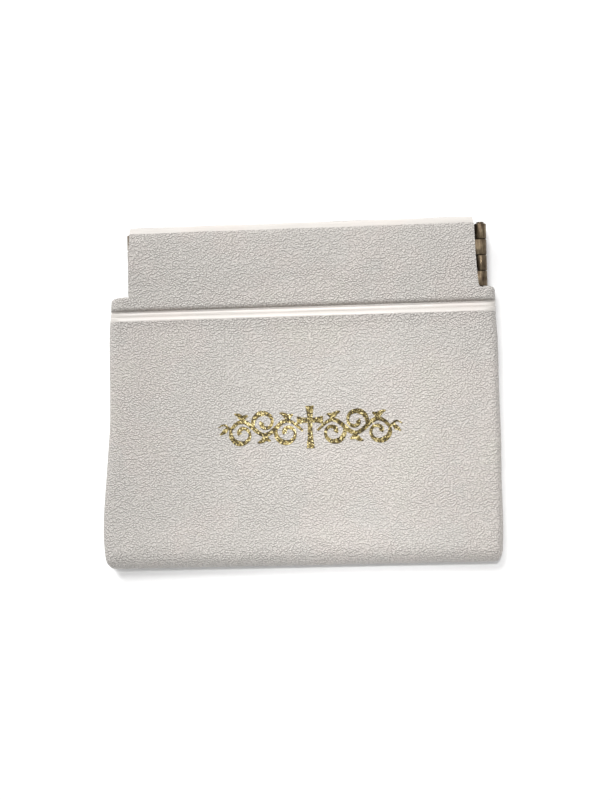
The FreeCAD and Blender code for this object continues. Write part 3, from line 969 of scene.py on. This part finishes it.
def curl_outline():
    """A knuckle's section, as (inwards from the pin, away from the middle plane)."""
    turn = np.radians(np.linspace(*CURL, CURL_POINTS))
    circle = np.stack([np.cos(turn), np.sin(turn)], -1)
    plate = PLATE_START + BRIDGE
    under = [(0.5, PLATE_UNDER - 0.1), (1.0, PLATE_UNDER), (plate, PLATE_UNDER)]
    return np.concatenate([circle * BARREL, circle[::-1] * BORE, under, [(plate, BARREL)]])


def plate_outline():
    """A leaf's plate, as (inwards from the pin, height), with two rounded corners."""
    turn = np.radians(np.linspace(0, 90, 9))
    reach = PLATE_END - STRIP_CORNER
    top, low = STRIP_HIGH - STRIP_CORNER, STRIP_LOW + STRIP_CORNER
    upper = np.stack([reach + STRIP_CORNER * np.cos(turn), top + STRIP_CORNER * np.sin(turn)], -1)
    lower = np.stack([reach + STRIP_CORNER * np.sin(turn), low - STRIP_CORNER * np.cos(turn)], -1)
    near = [(PLATE_START, STRIP_HIGH), (PLATE_START, STRIP_LOW)]
    return np.concatenate([upper, near, lower])


def make_leaf(end, side):
    """A hinge leaf: a plate with every other knuckle rolled round the pin."""
    face = FACES[side]
    pin, inwards = (LEFT_PIN, 1) if end == "left" else (RIGHT_PIN, -1)
    pitch = (STRIP_HIGH - STRIP_LOW + KNUCKLE_GAP) / KNUCKLES

    def place_curl(ring, level):
        u, off = ring[:, 0], ring[:, 1]
        return np.stack([pin + inwards * u, np.full_like(u, level), MIDDLE + face * off], -1)

    def place_plate(ring, level):
        u, y = ring[:, 0], ring[:, 1]
        return np.stack([pin + inwards * u, y, np.full_like(u, MIDDLE + face * level)], -1)

    points, faces = [], []
    first = 0 if side == "front" else 1
    for k in range(first, KNUCKLES, 2):
        low = STRIP_LOW + k * pitch
        more, quads = slab(curl_outline(), low, low + pitch - KNUCKLE_GAP, place_curl, len(points))
        points += more.tolist()
        faces += quads
    more, quads = slab(plate_outline(), PLATE_UNDER, BARREL, place_plate, len(points))
    points += more.tolist()
    faces += quads
    made = make_mesh(f"{end}_{side}_rolled_leaf", points, faces, [BRASS])
    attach(made, f"{side}_{end}")
    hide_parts(f"{end}_{side}_leaf")


for end in ("left", "right"):
    for side in FACES:
        make_leaf(end, side)

for name, node in frame["nodes"].items():
    if name.endswith(("rivets", "pin")):
        node.data.materials.clear()
        node.data.materials.append(BRASS)


# ---------------------------------------------------------------- foil ornament

foil_low, foil_high = node_box("foil_ornament")
FOIL_MIDDLE = (foil_low + foil_high) / 2
FOIL_RISE = 0.05
FOIL_SINK = 0.06
STROKE_STEP = 0.0012  # each stroke lies this much above the last, so that no two share a plane
SCROLL_POINTS = 14
SCROLL_SHRINK = 0.8  # share of the radius lost on the way in


def scroll(x, y, radius, start, turns, upwards):
    """A shrinking spiral round (x, y), as points."""
    t = np.linspace(0, 1, SCROLL_POINTS)
    angle = np.radians(start) - math.tau * turns * t
    reach = radius * (1 - SCROLL_SHRINK * t)
    return list(zip(x + reach * np.cos(angle), y + upwards * reach * np.sin(angle)))


# half widths along each kind of stroke
FLARED = [0.95, 0.6, 0.5, 0.6, 0.95]
STEM = [0.25, 0.42, 0.5, 0.45, 0.5, 0.38, 0.1]
CURL_WIDTHS = [0.28, 0.5, 0.62, 0.44, 0.32, 0.4, 0.55]
LEAF = [0.2, 0.58, 0.12]
TIP = [0.2, 0.55, 0.1]
CROSS_HALF = 4.7
ARM_HALF = 2.9
ARM_HEIGHT = 1.5
VINE_SWING = 1.5
VINE_PERIOD = 10
VINE_START, VINE_STOP = 1.6, 17.6
CURL_RADIUS = 2.75
CURL_DROP = 1.15
CURL_START = 25  # degrees
CURL_TURNS = 1.12
LEAVES = [(1.7, 1.75), (-1.3, 1.3)]  # (lean, size)


def vine_strokes():
    """A wavy stem to the right of the cross, with three curls and their leaves."""
    stem_x = np.linspace(VINE_START, VINE_STOP, 17)
    stem = [(x, VINE_SWING * math.sin(math.tau * (x - VINE_PERIOD / 4) / VINE_PERIOD)) for x in stem_x]
    stem += [(19.0, 0.9), (20.3, 0.3)]
    strokes = [(stem, STEM)]
    for middle, up in ((5, 1), (10, -1), (15, 1)):
        curl = scroll(middle, -CURL_DROP * up, CURL_RADIUS, CURL_START, CURL_TURNS, up)
        strokes.append((curl, CURL_WIDTHS))
        crest = VINE_SWING * up
        for lean, size in LEAVES:
            root = (middle - 0.2 * lean, crest)
            bend = (middle + 0.35 * lean, crest + 0.75 * up * size)
            tip = (middle + lean, crest + up * size)
            strokes.append(([root, bend, tip], LEAF))
    strokes.append(([(18.0, 0.5), (18.9, -0.5), (20.0, -1.3)], TIP))
    return strokes


def ornament_strokes():
    """Strokes as (points, half widths) round the ornament's middle: a cross between two vines."""
    upright = [(0, -CROSS_HALF), (0, -2.4), (0, 0), (0, 2.4), (0, CROSS_HALF)]
    arm = [(x, ARM_HEIGHT) for x in (-ARM_HALF, -1.4, 0, 1.4, ARM_HALF)]
    strokes = [(upright, FLARED), (arm, FLARED)]
    for side in (-1, 1):
        strokes += [([(side * x, y) for x, y in line], widths) for line, widths in vine_strokes()]
    return strokes


def make_ornament():
    """The foil: a thin strip along each stroke, sunk a little into the front skin."""
    points, faces = [], []
    for number, (line, widths) in enumerate(ornament_strokes()):
        middle = smooth_curve(line, 0.22)
        run = np.gradient(middle, axis=0)
        run /= np.linalg.norm(run, axis=1)[:, None]
        across = np.stack([-run[:, 1], run[:, 0]], -1)
        share = np.linspace(0, 1, len(middle))
        half = np.interp(share, np.linspace(0, 1, len(widths)), widths)[:, None]
        rise = FOIL_RISE + STROKE_STEP * number
        rings = []
        for left, right in zip(middle + across * half, middle - across * half):
            corners = np.array([left, left, right, right]) + FOIL_MIDDLE[:2]
            under = MIDDLE + HALF_THICK - panel_dent(1, corners[:, 0], corners[:, 1])
            rings.append(np.column_stack([corners, under + [-FOIL_SINK, rise, rise, -FOIL_SINK]]))
        faces += closed_loft(rings, len(points))[0]
        points += np.concatenate(rings).tolist()
    made = make_mesh("foil_scrollwork", points, faces, [FOIL])
    bend_skin(made, 1)
    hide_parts("foil_ornament")


make_ornament()


# ---------------------------------------------------------------- floor, light and camera


def make_floor():
    """A white paper table."""
    bpy.ops.mesh.primitive_plane_add(size=FLOOR_SIZE)
    floor = bpy.context.object
    floor.name = "floor"
    material, tree, shader = new_material("white_paper")
    paper = noise(tree, place(tree), 600, detail=3)
    colour = ramp(tree, paper, (0.3, 0.95), (0.7, 0.97))
    gloss = ramp(tree, paper, (0.3, 0.95), (0.7, 0.85))
    shader.inputs["Specular IOR Level"].default_value = 0.1
    finish(tree, shader, colour, gloss, (paper, 0.1, 0.02))
    floor.data.materials.append(material)


FLOOR_SIZE = 6
FILL = 0.58  # strength of the even light from all round
# lights by name: (distance, height above the floor in degrees, degrees to the left of straight up
# the picture, size, energy)
DISKS = {"key": (1.15, 60, 18, 0.34, 5.8), "rim": (1.1, 24, 28, 0.3, 6.4)}
# a faint broad pool on the lower right of the panel
POOL_PLACE = (0.0, 0.22, 0.95)
POOL_TARGET = (0.012, -0.02, 0)
POOL_ENERGY = 30.0
POOL_ANGLE = math.radians(7.2)
POOL_RADIUS = 0.05


def aim_light(light, place, target):
    """Puts a light at one point and turns it to another, in metres."""
    holder = bpy.data.objects.new(light.name, light)
    bpy.context.scene.collection.objects.link(holder)
    holder.location = place
    holder.rotation_euler = (Vector(place) - Vector(target)).to_track_quat("Z", "Y").to_euler()


def make_light():
    """An even fill, two soft disks and a pool."""
    world = bpy.data.worlds.new("studio")
    bpy.context.scene.world = world
    world.use_nodes = True
    world.node_tree.nodes["Background"].inputs["Color"].default_value = (1, 1, 1, 1)
    world.node_tree.nodes["Background"].inputs["Strength"].default_value = FILL

    for name, (distance, height, turn, size, energy) in DISKS.items():
        light = bpy.data.lights.new(name, "AREA")
        light.shape = "DISK"
        light.size = size
        light.energy = energy
        height, turn = math.radians(height), math.radians(turn)
        out = distance * math.cos(height)
        away = (-out * math.sin(turn), out * math.cos(turn), distance * math.sin(height))
        aim_light(light, away, (0, 0, 0))

    pool = bpy.data.lights.new("pool", "SPOT")
    pool.energy = POOL_ENERGY
    pool.spot_size = POOL_ANGLE
    pool.spot_blend = 1
    pool.shadow_soft_size = POOL_RADIUS
    aim_light(pool, POOL_PLACE, POOL_TARGET)

    bpy.context.scene.view_settings.view_transform = "Standard"


CAMERA_DISTANCE = 320.0  # from the middle plane
CAMERA_YAW = math.radians(3.64)  # the camera stands a little to the right
CAMERA_ROLL = math.radians(-1.57)
CAMERA_AIM = (0.45, -1.24)
SENSOR = 36.0
LENS = 64.68912
CLIP_START = 0.01  # in metres


def make_camera():
    """The photo's view, from nearly straight above."""
    camera = bpy.data.cameras.new("camera")
    camera.sensor_width = SENSOR
    camera.lens = LENS
    camera.clip_start = CLIP_START
    holder = bpy.data.objects.new("camera", camera)
    bpy.context.scene.collection.objects.link(holder)
    turn = Matrix.Rotation(CAMERA_YAW, 4, "Y") @ Matrix.Rotation(CAMERA_ROLL, 4, "Z")
    away = turn @ Vector((0, 0, CAMERA_DISTANCE))
    holder.location = (Vector((*CAMERA_AIM, MIDDLE)) + away) * MM
    holder.rotation_euler = turn.to_euler()
    bpy.context.scene.camera = holder


make_floor()
make_light()
make_camera()
